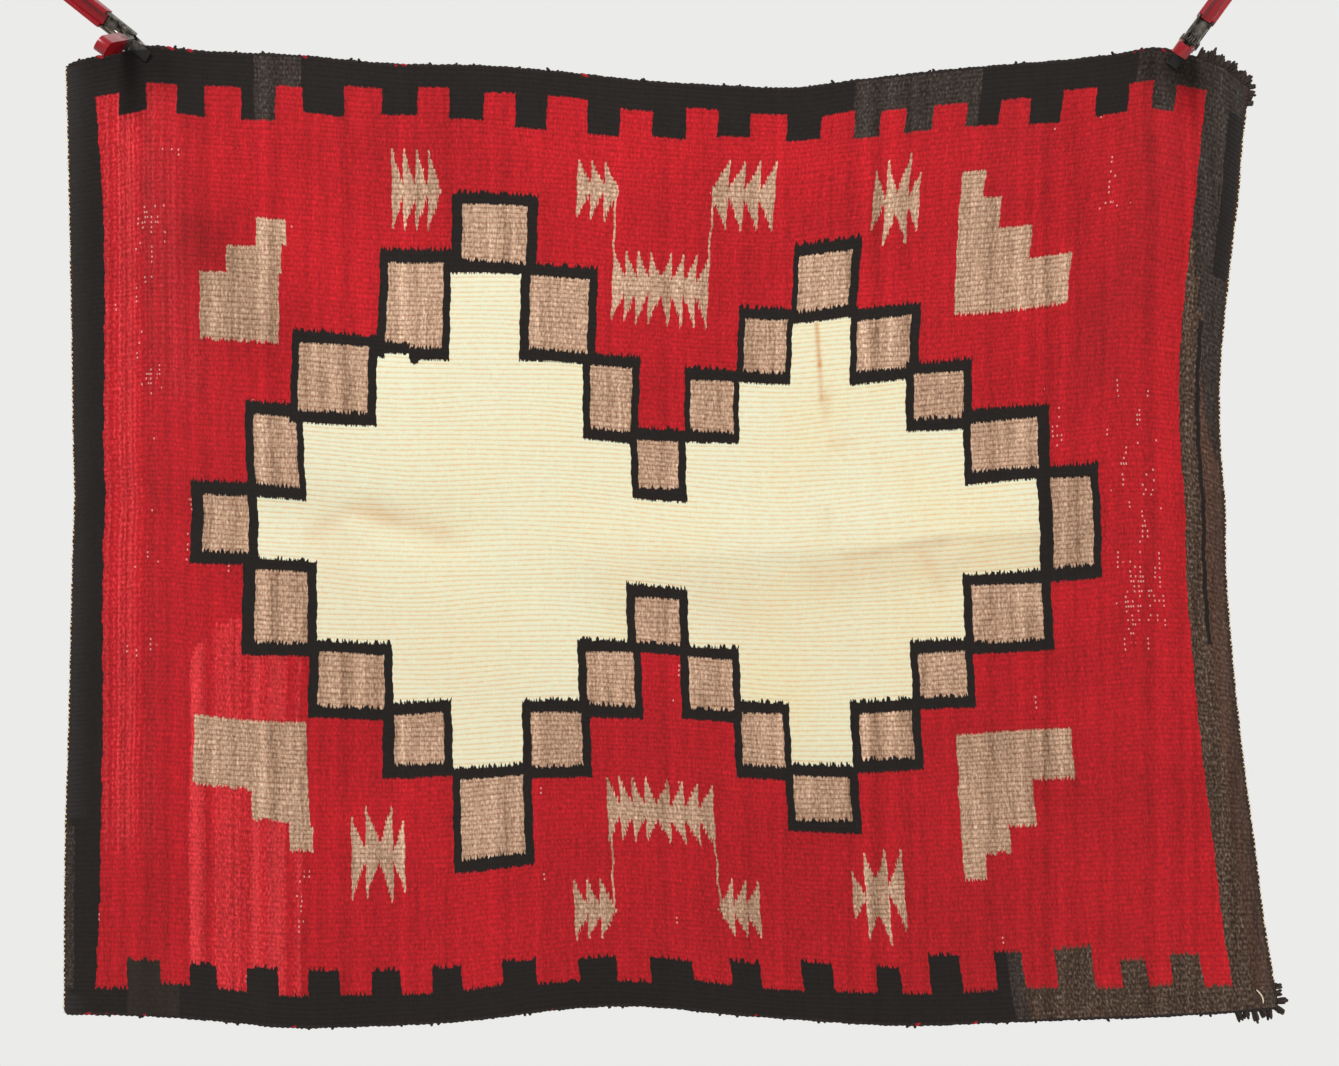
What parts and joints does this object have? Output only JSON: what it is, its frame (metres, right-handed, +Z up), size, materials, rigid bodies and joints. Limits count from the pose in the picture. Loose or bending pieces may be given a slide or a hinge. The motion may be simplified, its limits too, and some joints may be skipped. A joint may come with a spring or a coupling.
{
  "type": "navajo rug hung from two spring clamps",
  "caption": "Hand-woven wool tapestry rug with joined stepped diamonds inside a toothed border, hung by its top corners from sprung steel clamps.",
  "frame": {"origin": "in the hanging plane, above the middle of the rug's bottom edge, level with the highest point of its top edge", "axes": "+X along the warps towards the rug's right edge as seen from the front, +Y into the wall behind, +Z up"},
  "size_m": [1.2265, 0.0941, 1.0514],
  "materials": {
    "rug_wool": "ribbed weft-faced wool, matte",
    "fray_wool": "broken weft ends, matte",
    "clamp_steel": "pressed and plated, dulled",
    "grip_vinyl": "dipped vinyl, glossy"
  },
  "bodies": {
    "root": {"rug": "rug_wool", "top_right_fray": "fray_wool", "bottom_right_fray": "fray_wool", "left_clamp_back_lever": "clamp_steel", "left_clamp_front_lever": "clamp_steel", "left_clamp_back_grip": "grip_vinyl", "left_clamp_front_grip": "grip_vinyl", "left_clamp_pin": "clamp_steel", "left_clamp_spring": "clamp_steel", "right_clamp_back_lever": "clamp_steel", "right_clamp_front_lever": "clamp_steel", "right_clamp_back_grip": "grip_vinyl", "right_clamp_front_grip": "grip_vinyl", "right_clamp_pin": "clamp_steel", "right_clamp_spring": "clamp_steel"}
  },
  "joints": []
}
